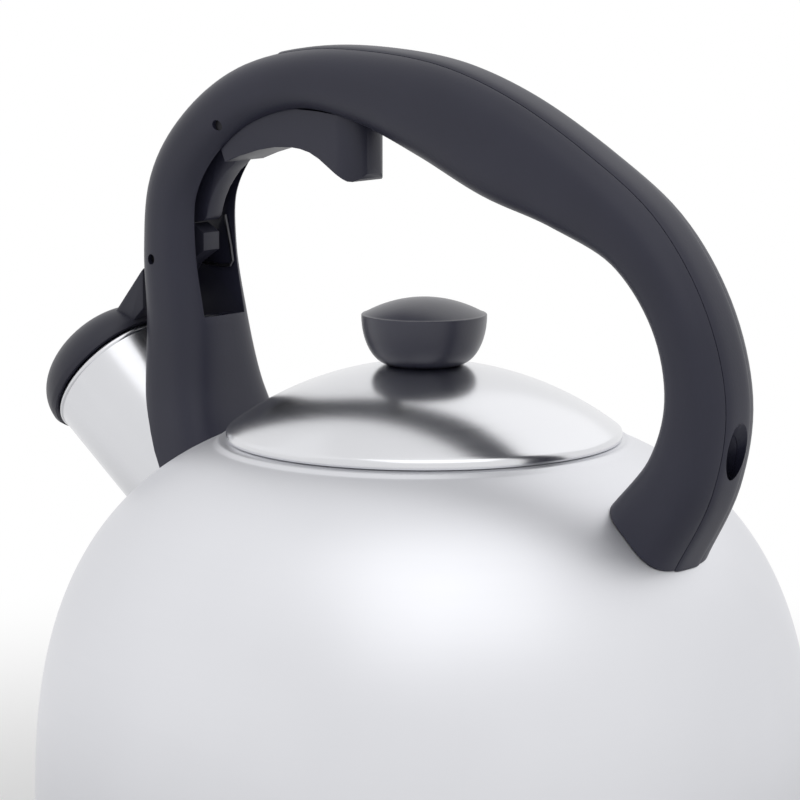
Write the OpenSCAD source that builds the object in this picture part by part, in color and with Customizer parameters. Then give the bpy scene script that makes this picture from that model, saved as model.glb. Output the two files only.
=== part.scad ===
// Stovetop whistling kettle: spun steel body, lift-off lid, fixed loop handle,
// and a trigger under the grip that swings the whistle cap off the spout.
// Millimetres. Origin: centre of the base on the hob. +Z up, the spout points to -X.

/* [Body] */
// Outer radius of the body at its widest level
body_r = 109; // [100:0.5:118]
// Height of the widest level above the hob
widest_h = 36; // [30:0.5:42]
// Height of the lid seat above the hob
seat_h = 142; // [134:0.5:150]
// Roundness of the dome above the widest level, 2 is an ellipse
dome_power = 2.7; // [2.4:0.05:3]
// Radius of the flat bottom
floor_r = 91; // [84:0.5:94]
// Steel thickness of the body, spout and lid
wall = 0.8; // [0.6:0.1:1.2]
// Inner radius of the filling hole
mouth_r = 48; // [44:0.5:50]
// Depth of the flange turned down round the filling hole
flange_h = 5; // [4:0.5:6]

/* [Base] */
// Radius of the aluminium heat spreader
spreader_r = 84; // [76:0.5:88]
// Thickness of the heat spreader
spreader_h = 5; // [4:0.5:6]
// Thickness of the steel capsule under the spreader
capsule_h = 1; // [0.8:0.1:1.5]

/* [Lid] */
// Outer radius of the lid
lid_r = 55; // [54:0.5:57]
// Rise of the lid's dome above its edge
lid_rise = 18.7; // [15:0.1:22]
// Height of the lid's straight edge
lid_edge_h = 2.2; // [1.5:0.1:3]
// Depth of the skirt that drops into the filling hole
skirt_h = 11; // [8:0.5:14]
// Gap between the skirt and the filling hole
skirt_gap = 0.9; // [0.5:0.1:1.5]

/* [Knob] */
// Radius of the knob at its rim
knob_r = 17.4; // [15:0.1:20]
// Radius of the knob where it stands on the lid
knob_foot_r = 9.6; // [8.5:0.1:11]
// Height of the knob from its foot to its rim
knob_bowl_h = 13.6; // [12:0.1:16]
// Rise of the knob's crown above its rim
knob_crown_h = 4.8; // [4:0.1:7]
// Radius of the knob's screw
knob_screw_r = 2.5; // [2:0.1:3]

/* [Spout] */
// Distance of the spout's mouth from the kettle's axis
spout_reach = 118; // [114:0.5:124]
// Height of the mouth's centre above the lid seat
spout_rise = 7.5; // [4:0.5:10]
// Slope of the spout above the horizontal, in degrees
spout_tilt = 39; // [36:0.5:42]
// Outer radius of the spout's tube
spout_r = 20.8; // [19:0.1:22]
// How far the rolled lip stands out from the tube
lip_out = 0.9; // [0.6:0.1:1.4]

/* [Handle] */
// Half of the handle's span along X, measured on its centre line
handle_reach = 96; // [92:0.5:100]
// Height of the handle's centre line above the lid seat at its highest
handle_rise = 98.5; // [94:0.5:104]
// Width of the trigger's slot
slot_w = 17; // [16:0.5:18]
// Thickness of the handle outside the slot
slot_roof = 3; // [2.5:0.1:4]
// Width of the strip set into the handle's back
strip_w = 11; // [10.5:0.5:14]
// Thickness of the strip
strip_t = 2.4; // [2:0.1:3]
// How far the strip stands proud of the handle
strip_proud = 0.4; // [0.2:0.1:0.8]

/* [Trigger and cap] */
// Place of the trigger's pivot: X, and height above the lid seat
trigger_at = [-66, 85]; // [-80:0.5:100]
// Place of the cap's pivot: X, and height above the lid seat
cap_at = [-91.5, 45]; // [-100:0.5:60]
// Where the trigger's toe rests on the cap's tail: X, and height above the lid seat
toe_at = [-84.5, 55.5]; // [-86:0.5:58]
// Lean of the tail's top face, in degrees from level
tail_lean = 20; // [14:1:26]
// Radius of the trigger's rounded toe
toe_r = 9; // [7:0.5:10]
// Width of the toe and of the tail
link_w = 6.6; // [6:0.2:8]
// Radius of the pivot pins
pin_r = 1.5; // [1.3:0.1:1.8]
// Outer radius of the whistle cap
cap_r = 23; // [22.5:0.1:24]
// Depth of the whistle cap
cap_depth = 15; // [13:0.5:17]
// Wall of the plastic mouldings
mould_t = 2; // [1.6:0.1:2.4]

/* [Fasteners] */
// Radius of the handle's screws
screw_r = 2.5; // [2:0.1:3]
// Radius of the screws' heads
head_r = 4; // [3.5:0.1:4.2]
// Height of the screws' heads
head_h = 3; // [2.5:0.1:3.5]
// Radius of the threaded bosses welded to the kettle
boss_r = 5; // [4.5:0.1:6]

/* [Fits] */
// Gap between pieces that move past each other
run_gap = 0.4; // [0.3:0.05:0.5]
// Gap between a piece and what it seats on
seat_gap = 0.25; // [0.1:0.05:0.3]
// Gap between the lid and the kettle it rests on
rest_gap = 0.3; // [0.2:0.05:0.4]
// Radial clearance of a pin in its bore
pin_gap = 0.05; // [0.02:0.01:0.1]
// Radial clearance of a screw's thread and shank
thread_gap = 0.1; // [0.05:0.01:0.2]

/* [Hidden] */

smooth = 96;         // $fn of the turned pieces
round_fn = 48;       // $fn of pins and screws
far = 300;           // longer than the kettle, for cuts that run right through
eps = 0.01;

// Colours
steel = [0.78, 0.79, 0.81];
dull_steel = [0.62, 0.63, 0.65];
charcoal = [0.19, 0.19, 0.22];
brass = [0.78, 0.62, 0.3];

// ---- Body outline -------------------------------------------------------
dome_h = seat_h - widest_h + 8;          // the dome would close this far above the widest level
floor_z = capsule_h + spreader_h;        // underside of the body's steel floor

// Height of the dome's surface at radius r; inset moves the surface inwards
function dome_z(r, inset = 0) =
    widest_h + (dome_h - inset) * pow(1 - pow(r / (body_r - inset), dome_power), 1 / dome_power);

// The dome from the widest level up to radius r_top
function dome_points(inset, r_top, steps = 26) =
    let (r = body_r - inset, last = acos(pow(r_top / r, dome_power / 2)))
    [for (i = [0 : steps])
        let (a = last * i / steps)
        [r * pow(cos(a), 2 / dome_power), widest_h + (dome_h - inset) * pow(sin(a), 2 / dome_power)]];

// The heel from the floor up to the widest level
function heel_points(inset, steps = 10) =
    [for (i = [0 : steps - 1])
        let (a = 90 * (1 - i / steps))
        [floor_r + (body_r - floor_r - inset) * cos(a), widest_h - (widest_h - floor_z - inset) * sin(a)]];

// The closed outside shape of the body, grown by gap
module body_envelope(gap = 0) {
    rotate_extrude($fn = smooth)
        polygon(concat([[0, floor_z - gap]], heel_points(-gap), dome_points(-gap, mouth_r),
                       [[0, dome_z(mouth_r) + gap]]));
}

// ---- Spout axis ----------------------------------------------------------
spout_mouth = [-spout_reach, seat_h + spout_rise];
spout_dir = [-cos(spout_tilt), sin(spout_tilt)];
spout_len = 58;                          // runs into the body, where it is trimmed
lip_round = 1.1;                         // radius of the rolled lip's section

// Places children on the spout's axis, Z outwards, Z = 0 at the mouth, X to the spout's lower side
module at_spout() {
    translate([spout_mouth[0], 0, spout_mouth[1]]) rotate([0, -90 + spout_tilt, 0]) children();
}

module spout_envelope(gap = 0) {
    at_spout() translate([0, 0, -spout_len]) cylinder(r = spout_r + gap, h = spout_len, $fn = smooth);
}

// ---- Handle centre line ---------------------------------------------------
// Each station: X in hundredths of the reach, height in hundredths of the rise, half depth in the
// handle's plane, half width across it, squareness (2 is an ellipse). From the spout over the top.
stations = [[-79, -26, 13, 21.5, 4.6], [-83, -8, 13, 19.8, 4], [-87, 8, 12.5, 17.2, 3.3],
            [-89.5, 28, 12, 14.5, 2.8], [-92, 48, 11.5, 13.5, 2.6], [-90.5, 67, 11, 13, 2.5],
            [-80, 82.5, 10, 13, 2.5], [-62.5, 94.5, 9.3, 13, 2.5], [-39.5, 100, 9, 13, 2.5],
            [-15.5, 98.5, 11, 13.2, 2.5], [8.5, 93, 13.8, 13.6, 2.5], [31.5, 84.5, 14.8, 13.6, 2.5],
            [55, 75.3, 12.4, 13.2, 2.5], [78.6, 62.6, 9.8, 12.8, 2.5], [94, 43.5, 9, 12.5, 2.5],
            [100, 21.5, 9.8, 12.5, 2.5], [95.5, 1, 10.8, 13.4, 2.7], [83, -17, 12.6, 15.4, 3],
            [76, -27, 13.6, 16.8, 3.2]];
path_steps = 3;                          // rings between neighbouring stations
section_sides = 20;
station_count = len(stations);

function station(i) =
    let (s = stations[min(max(i, 0), station_count - 1)])
    [s[0] / 100 * handle_reach, seat_h + s[1] / 100 * handle_rise, s[2], s[3], s[4]];

function spline(a, b, c, d, t) =
    0.5 * (2 * b + (c - a) * t + (2 * a - 5 * b + 4 * c - d) * t * t + (3 * b - a - 3 * c + d) * t * t * t);

// A point of the handle's path at parameter u, where whole numbers are the stations
function path_at(u) =
    let (i = min(floor(u), station_count - 2))
    spline(station(i - 1), station(i), station(i + 1), station(i + 2), u - i);

// Unit normal of the path at u, pointing out of the loop
function path_normal(u) =
    let (d = path_at(min(u + 0.02, station_count - 1)) - path_at(max(u - 0.02, 0)), l = norm([d[0], d[1]]))
    [-d[1] / l, d[0] / l];

// The point on the path's normal at u, a share of the half depth plus a distance from the centre line
function path_side(u, share, extra = 0) =
    let (p = path_at(u), n = path_normal(u))
    [p[0] + n[0] * (p[2] * share + extra), p[1] + n[1] * (p[2] * share + extra)];

function signed_pow(x, e) = sign(x) * pow(abs(x), e);

function section_ring(u, grow) =
    let (p = path_at(u), n = path_normal(u))
    [for (k = [0 : section_sides - 1])
        let (a = 360 * (k + 0.5) / section_sides,
             d = (p[2] + grow) * signed_pow(cos(a), 2 / p[4]),
             w = (p[3] + grow) * signed_pow(sin(a), 2 / p[4]))
        [p[0] + n[0] * d, w, p[1] + n[1] * d]];

// The handle's full solid between two path parameters
module handle_sweep(from = 0, to = station_count - 1, grow = 0) {
    rings = round((to - from) * path_steps);
    points = [for (i = [0 : rings]) each section_ring(from + (to - from) * i / rings, grow)];
    sides = [for (i = [0 : rings - 1], k = [0 : section_sides - 1])
        let (j = (k + 1) % section_sides, a = i * section_sides, b = a + section_sides)
        each [[a + k, a + j, b + j], [a + k, b + j, b + k]]];
    first = [for (k = [section_sides - 1 : -1 : 0]) k];
    last = [for (k = [0 : section_sides - 1]) rings * section_sides + k];
    polyhedron(points = points, faces = concat([first], sides, [last]), convexity = 6);
}

// Extrudes an outline in the XZ plane to the given width, centred on Y = 0
module upright(width) {
    rotate([90, 0, 0]) translate([0, 0, -width / 2]) linear_extrude(height = width) children();
}

// ---- Handle cuts ----------------------------------------------------------
slot_from = 3;                        // the slot's floor, in stations
slot_to = 9.2;                          // the slot's end behind the trigger's pad
strip_from = 7.6;                        // the strip's front end
strip_to = station_count - 1.3;          // the strip's end at the rear foot
strip_fit = 0.15;                        // gap round the strip in its groove

// Thickness of the handle over the slot at u: thicker where the strip's groove is cut above it
function roof_at(u) = slot_roof + strip_t * min(max((u - strip_from + 1.1) / 0.8, 0), 1);

// The hollow that holds the trigger's arm and opens on the inner side
module slot_outline() {
    count = 26;
    polygon(concat(
        [for (i = [0 : count]) let (u = slot_from + (slot_to - slot_from) * i / count) path_side(u, 1, -roof_at(u))],
        [for (i = [count : -1 : 0]) path_side(slot_from + (slot_to - slot_from) * i / count, -1, -8)]));
}

// The band along the handle's back that holds the strip
module strip_outline(from, to, depth) {
    count = 30;
    polygon(concat(
        [for (i = [0 : count]) path_side(from + (to - from) * i / count, 1, 3)],
        [for (i = [count : -1 : 0]) path_side(from + (to - from) * i / count, 1, -depth)]));
}

// ---- Screws that hold the handle -------------------------------------------
front_x = -79;                           // the front screw stands upright at this X
front_seat_z = seat_h + 24;              // where the front screw's head sits
front_boss_top = seat_h + 14;
rear_foot_r = 82;                        // the rear boss stands on the body at this radius
rear_foot_z = dome_z(rear_foot_r);
rear_slope = atan((dome_z(rear_foot_r - 1) - dome_z(rear_foot_r + 1)) / 2);
rear_boss_h = 9;
rear_seat_h = 17;                        // height of the rear screw's seat along its axis
screw_grip = 6;                          // length of thread inside a boss
washer_t = 1;

// Places children on the rear screw's axis, Z outwards from the body's surface
module at_rear() {
    translate([rear_foot_r, 0, rear_foot_z]) rotate([0, rear_slope, 0]) children();
}

module at_front(z) {
    translate([front_x, 0, z]) children();
}

// ---- Linkage ----------------------------------------------------------------
trigger_pivot = [trigger_at[0], seat_h + trigger_at[1]];
cap_pivot = [cap_at[0], seat_h + cap_at[1]];
tail_up = [-sin(tail_lean), cos(tail_lean)];      // square to the tail's top face
tail_along = [cos(tail_lean), sin(tail_lean)];
toe_point = [toe_at[0], seat_h + toe_at[1]];
toe_centre = toe_point + toe_r * tail_up;
arm_w = 14;                              // width of the cap's arm outside the handle
trigger_w = slot_w - 2 * run_gap;
pin_sink = 1.6;                          // the pivot pins end this far inside the handle's sides
pin_len = 2 * (13 - pin_sink);

module pin_along_y(at, r, len) {
    translate([at[0], 0, at[1]]) rotate([90, 0, 0]) cylinder(r = r, h = len, center = true, $fn = round_fn);
}

// ============================== BODY =========================================
module body_shell() {
    color(steel)
    difference() {
        rotate_extrude($fn = smooth)
            polygon(concat(
                [[0, floor_z]], heel_points(0), dome_points(0, mouth_r + wall),
                [[mouth_r, dome_z(mouth_r + wall)], [mouth_r, dome_z(mouth_r + wall) - flange_h],
                 [mouth_r + wall, dome_z(mouth_r + wall) - flange_h]],
                [for (i = [26 : -1 : 0]) dome_points(wall, mouth_r + 2 * wall)[i]],
                [for (i = [9 : -1 : 0]) heel_points(wall)[i]],
                [[0, floor_z + wall]]));
        at_spout() translate([0, 0, -spout_len])
            cylinder(r = spout_r - wall, h = spout_len, $fn = smooth);
    }
}

module base_spreader() {
    color(dull_steel)
    translate([0, 0, capsule_h]) cylinder(r = spreader_r, h = spreader_h, $fn = smooth);
}

// A shallow steel dish pressed over the spreader
module base_capsule() {
    lip = 1.6;
    color(steel)
    rotate_extrude($fn = smooth)
        polygon([[0, 0], [spreader_r - 1, 0], [spreader_r + 1, lip / 2], [spreader_r + 1 + wall, floor_z],
                 [spreader_r + eps, floor_z], [spreader_r + eps, capsule_h], [0, capsule_h]]);
}

module spout() {
    color(steel)
    difference() {
        at_spout() union() {
            difference() {
                translate([0, 0, -spout_len]) cylinder(r = spout_r, h = spout_len, $fn = smooth);
                translate([0, 0, -spout_len - 1]) cylinder(r = spout_r - wall, h = spout_len + 2, $fn = smooth);
            }
            translate([0, 0, -lip_round]) rotate_extrude($fn = smooth)
                translate([spout_r + lip_out - lip_round, 0]) circle(r = lip_round, $fn = 24);
        }
        body_envelope();
    }
}

// ============================== LID ==========================================
lid_z = dome_z(lid_r) + rest_gap;        // lower rim of the lid above the hob
lid_edge_top = lid_z + lid_edge_h;
lid_top = lid_edge_top + lid_rise;
lid_curve_r = (lid_r * lid_r + lid_rise * lid_rise) / (2 * lid_rise);
skirt_r = mouth_r - skirt_gap;

function lid_curve(r, inset = 0) = lid_top - lid_curve_r + sqrt(pow(lid_curve_r - inset, 2) - r * r);
function lid_arc(r_from, r_to, inset, steps = 24) =
    [for (i = [0 : steps]) let (r = r_from + (r_to - r_from) * i / steps) [r, lid_curve(r, inset)]];

module lid_dome() {
    color(steel)
    rotate_extrude($fn = smooth)
        polygon(concat(
            lid_arc(knob_screw_r + thread_gap, lid_r, 0),
            [[lid_r, lid_z], [lid_r - wall, lid_z]],
            lid_arc(lid_r - wall, knob_screw_r + thread_gap, wall)));
}

// A pressed ring inside the lid: it lies over the kettle's shoulder and drops into the filling hole
module lid_skirt() {
    outer = lid_r - wall - 0.1;
    inner = mouth_r + wall;
    shoulder = [for (i = [0 : 4]) let (r = inner + (outer - inner) * i / 4) [r, dome_z(r) + rest_gap]];
    color(dull_steel)
    rotate_extrude($fn = smooth)
        polygon(concat(
            [[skirt_r - wall, lid_z - skirt_h], [skirt_r, lid_z - skirt_h], [skirt_r, shoulder[0][1]]],
            shoulder,
            [for (i = [4 : -1 : 0]) shoulder[i] + [0, wall]],
            [[skirt_r, shoulder[0][1] + wall], [skirt_r - wall, shoulder[0][1]]]));
}

// ============================== KNOB =========================================
knob_foot_z = lid_curve(knob_foot_r - 0.6);
knob_rim_z = knob_foot_z + knob_bowl_h;
knob_bore_h = 10.5;
insert_h = 8;
insert_r = knob_screw_r + 1.6;

function knob_bowl(steps = 12) =
    [for (i = [0 : steps])
        let (a = 90 * i / steps)
        [knob_foot_r + (knob_r - knob_foot_r) * sin(a), knob_foot_z + knob_bowl_h * (1 - cos(a))]];

function knob_crown(steps = 12) =
    [for (i = [0 : steps])
        let (r = (knob_r - 0.5) * (1 - i / steps), c = (knob_r * knob_r + knob_crown_h * knob_crown_h) / (2 * knob_crown_h))
        [r, knob_rim_z + knob_crown_h - c + sqrt(c * c - r * r)]];

module knob() {
    color(charcoal)
    difference() {
        rotate_extrude($fn = smooth)
            polygon(concat([[0, knob_foot_z]], knob_bowl(), knob_crown()));
        translate([0, 0, knob_foot_z - 1]) cylinder(r = insert_r, h = 1 + knob_bore_h, $fn = round_fn);
        translate([0, 0, lid_top - lid_curve_r]) sphere(r = lid_curve_r + 0.05, $fn = 200);
    }
}

module knob_insert() {
    color(brass)
    translate([0, 0, lid_top + 1.5]) difference() {
        cylinder(r = insert_r, h = insert_h, $fn = round_fn);
        translate([0, 0, -1]) cylinder(r = knob_screw_r + thread_gap, h = insert_h + 2, $fn = round_fn);
    }
}

knob_washer_r = 5.5;
knob_washer_z = lid_curve(knob_washer_r, wall) - 0.1 - washer_t;
module knob_washer() {
    color(dull_steel)
    translate([0, 0, knob_washer_z]) difference() {
        cylinder(r = knob_washer_r, h = washer_t, $fn = round_fn);
        translate([0, 0, -1]) cylinder(r = knob_screw_r + thread_gap, h = washer_t + 2, $fn = round_fn);
    }
}

// Pan head below the lid, shank up into the knob's insert
module knob_screw() {
    head = 2.2;
    color(dull_steel)
    translate([0, 0, knob_washer_z]) difference() {
        union() {
            translate([0, 0, -head]) cylinder(r = knob_screw_r + 2, h = head, $fn = round_fn);
            cylinder(r = knob_screw_r, h = 10, $fn = round_fn);
        }
        translate([-far / 2, -0.5, -head - eps]) cube([far, 1, 1]);
    }
}

// ============================== HANDLE =======================================
arm_window = [cap_pivot[1] - 17, cap_pivot[1] + 10];   // lowest and highest edge of the cap arm's window

module handle_grip() {
    color(charcoal)
    difference() {
        handle_sweep();
        body_envelope(seat_gap);
        spout_envelope(seat_gap + 0.1);
        upright(slot_w) slot_outline();
        upright(strip_w + 2 * strip_fit) strip_outline(strip_from - 0.01, strip_to + 0.01, strip_t + strip_fit);
        // the cap's arm comes in through the front face
        translate([cap_pivot[0] - 30, -arm_w / 2 - run_gap, arm_window[0]])
            cube([30, arm_w + 2 * run_gap, arm_window[1] - arm_window[0]]);
        // pivot pins run right through
        pin_along_y(trigger_pivot, pin_r, far);
        pin_along_y(cap_pivot, pin_r, far);
        // front screw and boss, under the slot's floor
        at_front(seat_h - 30) cylinder(r = boss_r + seat_gap, h = front_boss_top - seat_h + 30 + seat_gap, $fn = round_fn);
        at_front(seat_h) cylinder(r = screw_r + thread_gap, h = 40, $fn = round_fn);
        at_front(front_seat_z) cylinder(r = head_r + seat_gap, h = 12, $fn = round_fn);
        // rear screw and boss, reached from the back
        at_rear() {
            translate([0, 0, -5]) cylinder(r = boss_r + seat_gap, h = 5 + rear_boss_h + seat_gap, $fn = round_fn);
            cylinder(r = screw_r + thread_gap, h = rear_seat_h + 1, $fn = round_fn);
            translate([0, 0, rear_seat_h]) cylinder(r = head_r + seat_gap, h = 40, $fn = round_fn);
        }
    }
}

module handle_strip() {
    color(charcoal)
    difference() {
        intersection() {
            handle_sweep(strip_from - 0.6, station_count - 1, strip_proud);
            upright(strip_w) strip_outline(strip_from, strip_to, strip_t);
        }
        body_envelope(seat_gap);
        at_rear() translate([0, 0, rear_seat_h]) cylinder(r = head_r + seat_gap, h = 40, $fn = round_fn);
    }
}

// ============================== HANDLE FIXINGS ===============================
module boss(h) {
    difference() {
        cylinder(r = boss_r, h = h, $fn = round_fn);
        translate([0, 0, h - screw_grip - 2]) cylinder(r = screw_r + thread_gap, h = far, $fn = round_fn);
    }
}

// Stands on the spout's root, trimmed to the tube and the dome
module front_boss() {
    color(dull_steel)
    difference() {
        at_front(seat_h - 20) boss(front_boss_top - seat_h + 20);
        spout_envelope();
        body_envelope();
    }
}

module rear_boss() {
    color(dull_steel)
    difference() {
        at_rear() translate([0, 0, -5]) boss(rear_boss_h + 5);
        body_envelope();
    }
}

// Socket head and plain shank; z = 0 under the head
module screw(shank) {
    difference() {
        union() {
            cylinder(r = head_r, h = head_h, $fn = round_fn);
            translate([0, 0, -shank]) cylinder(r = screw_r, h = shank + eps, $fn = round_fn);
        }
        translate([0, 0, head_h - 1.6]) cylinder(r = head_r / 2, h = 3, $fn = 6);
    }
}

module washer() {
    difference() {
        cylinder(r = head_r, h = washer_t, $fn = round_fn);
        translate([0, 0, -1]) cylinder(r = screw_r + thread_gap, h = washer_t + 2, $fn = round_fn);
    }
}

module front_screw() {
    color(dull_steel) at_front(front_seat_z + washer_t) screw(front_seat_z + washer_t - front_boss_top + screw_grip);
}

module rear_screw() {
    color(dull_steel) at_rear() translate([0, 0, rear_seat_h + washer_t])
        screw(rear_seat_h + washer_t - rear_boss_h + screw_grip);
}

module front_washer() {
    color(dull_steel) at_front(front_seat_z) washer();
}

module rear_washer() {
    color(dull_steel) at_rear() translate([0, 0, rear_seat_h]) washer();
}

// ============================== TRIGGER ======================================
pad_end = 48.5;                          // the pad's end, ahead of the pivot

// Side view of the finger lever, from the pivot to the pad, relative to the pivot
function lever_outline() = [
    [-4, 3.6], [-1, 5.4], [8, 5.8], [20, 5.8], [34, 5.4], [42, 4.6], [pad_end, 3.2],
    [pad_end, -11.5], [pad_end - 0.8, -13.3], [pad_end - 2.4, -13.9], [pad_end - 5, -13.3],
    [pad_end - 8, -11.7], [pad_end - 11, -9.8], [pad_end - 14, -7.9], [pad_end - 17.5, -6.3],
    [pad_end - 21, -5.5], [24, -5.2], [18, -5.5], [12, -6.6], [5, -8.6], [-1, -10.8], [-3, -6]];

// Side view of the arm that reaches down the handle to the toe, relative to the pivot
function reach_outline() =
    let (c = toe_centre - trigger_pivot, k = toe_point - trigger_pivot)
    concat(
        [[3, -7], [-2.5, -12.2], [-7, -16.2], [-10.9, -21.9], [-12.7, -27.6], k + [4.6, 0.7]],
        [for (i = [0 : 8]) let (a = 270 + tail_lean - 54 * i / 8) c + toe_r * [cos(a), sin(a)]],
        [[-25.5, -25], [-22.6, -17], [-18, -10], [-12, -3.5], [-6, 2], [0, 5]]);

module trigger() {
    color(charcoal)
    translate([trigger_pivot[0], 0, trigger_pivot[1]])
    difference() {
        union() {
            // the finger lever ends in a half round pad
            intersection() {
                upright(trigger_w) polygon(lever_outline());
                translate([0, 0, -far / 2]) linear_extrude(height = far) union() {
                    translate([pad_end - trigger_w / 2, 0]) circle(d = trigger_w, $fn = smooth);
                    translate([-far + pad_end - trigger_w / 2, -trigger_w / 2]) square([far, trigger_w]);
                }
            }
            upright(link_w) polygon(reach_outline());
            rotate([90, 0, 0]) cylinder(r = 5.5, h = trigger_w, center = true, $fn = round_fn);
        }
        rotate([90, 0, 0]) cylinder(r = pin_r + pin_gap, h = far, center = true, $fn = round_fn);
    }
}

module trigger_pin() {
    color(dull_steel) pin_along_y(trigger_pivot, pin_r, pin_len);
}

// ============================== WHISTLE CAP ==================================
cap_lift = seat_gap;                     // gap between the cap's rim and the spout's lip
cap_hub_r = 5;
cap_arm_x = -101;                        // the cap's arm is full width up to here

// Half outline of the domed cap, Z outwards from its rim
function cap_curve(r, depth, steps = 16) =
    [for (i = [0 : steps])
        let (a = 90 * i / steps)
        [r * pow(cos(a), 2 / 2.3), depth * pow(sin(a), 2 / 2.3)]];

// Side view of the arm from the dome to the hub
module cap_arm_outline() {
    across = [sin(spout_tilt), cos(spout_tilt)];
    hull() {
        translate(cap_pivot) circle(r = cap_hub_r, $fn = 32);
        translate(spout_mouth + (cap_r - 4.5) * across + 6.2 * spout_dir) circle(r = 2.2, $fn = 32);
        translate(spout_mouth + (cap_r - 1) * across + 2.8 * spout_dir) circle(r = 1.6, $fn = 32);
    }
}

// Side view of the tail, from the hub up to the face under the trigger's toe
module cap_tail_outline() {
    top = toe_point - run_gap * tail_up;
    polygon([top, top - 7.2 * tail_along, cap_pivot + [-cap_hub_r, 1],
             cap_pivot + [0, -cap_hub_r], cap_pivot + [11.5, 2.5], cap_pivot + [11.5, 7.6]]);
}

module cap_shell() {
    color(charcoal)
    difference() {
        union() {
            at_spout() translate([0, 0, cap_lift]) rotate_extrude($fn = smooth)
                polygon(concat([[0, 0]], cap_curve(cap_r, cap_depth)));
            intersection() {
                upright(arm_w) cap_arm_outline();
                translate([cap_arm_x - far, -far / 2, 0]) cube([far, far, far]);
            }
            upright(link_w) {
                cap_arm_outline();
                cap_tail_outline();
            }
        }
        // the hollow under the dome, and room for the spout's lip below its rim
        at_spout() translate([0, 0, cap_lift]) rotate_extrude($fn = smooth)
            polygon(concat([[0, -cap_lift - far / 10], [cap_r - mould_t, -cap_lift - far / 10]],
                           cap_curve(cap_r - mould_t, cap_depth - mould_t)));
        pin_along_y(cap_pivot, pin_r + pin_gap, far);
        // steam outlet at the dome's crown
        at_spout() cylinder(r = 3.5, h = 40, $fn = round_fn);
    }
}

module cap_pin() {
    color(dull_steel) pin_along_y(cap_pivot, pin_r, pin_len);
}

// Steel dish that closes the cap's rim, with a smaller dish upside down on it: steam blows
// through the two holes in line and sounds the whistle
disc_t = 0.6;
dish_z = cap_lift + 0.4;
whistle_r = 12;
whistle_hole_r = 2.5;

module dish(r, h) {
    difference() {
        rotate_extrude($fn = smooth)
            polygon([[0, 0], [r, 0], [r, h], [r - disc_t, h], [r - disc_t, disc_t], [0, disc_t]]);
        translate([0, 0, -1]) cylinder(r = whistle_hole_r, h = disc_t + 2, $fn = round_fn);
    }
}

module whistle_cup() {
    color(steel) at_spout() translate([0, 0, dish_z]) dish(cap_r - mould_t - 0.6, 2.4);
}

module whistle_plate() {
    color(steel) at_spout() translate([0, 0, dish_z + disc_t + 4]) mirror([0, 0, 1]) dish(whistle_r, 4);
}

// Torsion spring on the cap's pivot: a short leg beside the tail, and a long leg bent up in the slot
wire_r = 0.5;
coil_r = 2.6;
coil_turns = 3;
coil_y = link_w / 2 + run_gap + wire_r;
coil_pitch = 2 * wire_r + 0.1;
function spring_path() =
    let (end_y = coil_y + coil_turns * coil_pitch)
    concat(
        [for (i = [5 : -1 : 1]) [coil_r, 1.3 * i, coil_y]],
        [for (i = [0 : 12 * coil_turns + 3]) let (a = -30 * i)
            [coil_r * cos(a), coil_r * sin(a), min(coil_y + i / 12 * coil_pitch, end_y)]],
        [for (p = [[3, -2.7], [8, -3], [12, -2.6], [12.9, -1.2], [12.2, 3], [11, 8], [10, 12]]) [p[0], p[1], end_y]]);

module cap_spring() {
    path = [for (p = spring_path()) [cap_pivot[0] + p[0], p[2], cap_pivot[1] + p[1]]];
    sides = 6;
    last = len(path) - 1;
    points = [for (i = [0 : last])
        let (d = path[min(i + 1, last)] - path[max(i - 1, 0)], t = d / norm(d),
             b = cross(t, [0, 1, 0]) / norm(cross(t, [0, 1, 0])), c = cross(b, t))
        each [for (k = [0 : sides - 1]) path[i] + wire_r * (cos(360 * k / sides) * b + sin(360 * k / sides) * c)]];
    skin = [for (i = [0 : last - 1], k = [0 : sides - 1])
        let (j = (k + 1) % sides, a = i * sides, b = a + sides)
        each [[a + k, b + k, b + j], [a + k, b + j, a + j]]];
    color(dull_steel)
    polyhedron(points = points, faces = concat([[for (k = [0 : sides - 1]) k]], skin,
               [[for (k = [sides - 1 : -1 : 0]) last * sides + k]]), convexity = 8);
}

body_shell();
base_spreader();
base_capsule();
spout();
lid_dome();
lid_skirt();
knob();
knob_insert();
knob_screw();
knob_washer();
handle_grip();
handle_strip();
front_boss();
rear_boss();
front_screw();
rear_screw();
front_washer();
rear_washer();
trigger();
trigger_pin();
cap_shell();
cap_pin();
cap_spring();
whistle_cup();
whistle_plate();
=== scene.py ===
import math
import bpy
import bmesh
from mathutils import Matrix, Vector


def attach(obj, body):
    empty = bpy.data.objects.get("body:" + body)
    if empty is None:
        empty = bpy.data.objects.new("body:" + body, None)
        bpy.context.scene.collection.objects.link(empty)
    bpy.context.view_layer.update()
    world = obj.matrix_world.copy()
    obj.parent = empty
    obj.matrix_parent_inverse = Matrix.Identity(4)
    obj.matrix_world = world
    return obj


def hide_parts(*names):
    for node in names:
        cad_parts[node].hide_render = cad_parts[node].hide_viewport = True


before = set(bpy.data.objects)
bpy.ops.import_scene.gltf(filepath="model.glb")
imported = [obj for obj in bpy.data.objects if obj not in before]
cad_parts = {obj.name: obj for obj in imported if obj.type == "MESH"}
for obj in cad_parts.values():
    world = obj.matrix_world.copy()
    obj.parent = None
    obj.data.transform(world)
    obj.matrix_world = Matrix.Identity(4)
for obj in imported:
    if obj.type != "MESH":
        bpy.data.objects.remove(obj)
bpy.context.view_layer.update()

mm = 0.001

# camera, lights and setting
viewing = {"azimuth": 40.0, "elevation": 8.9, "distance": 1.0, "lens": 162.1,
           "aim": (-0.0062, -0.0030, 0.1532)}


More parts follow.
